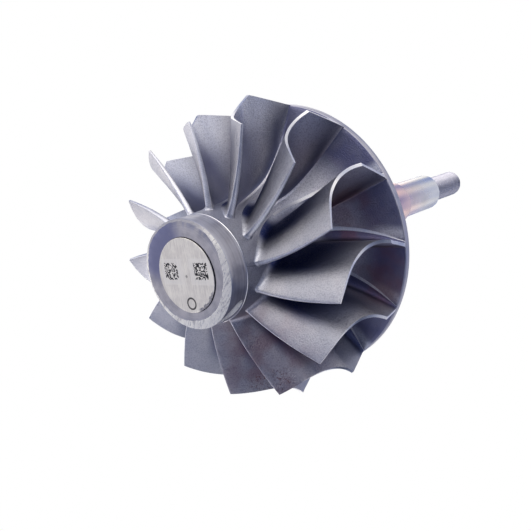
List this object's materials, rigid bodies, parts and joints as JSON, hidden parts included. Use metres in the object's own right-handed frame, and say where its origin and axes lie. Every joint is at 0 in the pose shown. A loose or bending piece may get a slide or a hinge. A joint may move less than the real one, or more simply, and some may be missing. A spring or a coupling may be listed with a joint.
{
  "type": "turbocharger turbine wheel with shaft",
  "caption": "Mixed-flow turbocharger turbine wheel with curved blades round a turned hub, a full back disc, a round nose boss and a stepped steel shaft.",
  "frame": {"origin": "centre of the flat pad on the nose boss, at the bottom of the part as it stands on its nose", "axes": "+Z along the rotor's axis from the nose to the threaded shaft end; +X and +Y across it, with the first blade's outlet corner 35.3 degrees from +X towards -Y"},
  "size_m": [0.0934, 0.0935, 0.16],
  "materials": {
    "hub_casting": "satin cast nickel alloy, turned on the nose",
    "blade_casting": "grainy satin cast nickel alloy with a faint violet tint",
    "shaft_steel": "ground and polished steel"
  },
  "bodies": {
    "root": {"wheel_hub": "hub_casting", "blade_01": "blade_casting", "blade_02": "blade_casting", "blade_03": "blade_casting", "blade_04": "blade_casting", "blade_05": "blade_casting", "blade_06": "blade_casting", "blade_07": "blade_casting", "blade_08": "blade_casting", "blade_09": "blade_casting", "blade_10": "blade_casting", "blade_11": "blade_casting", "blade_12": "blade_casting", "blade_13": "blade_casting", "shaft": "shaft_steel"}
  },
  "joints": []
}
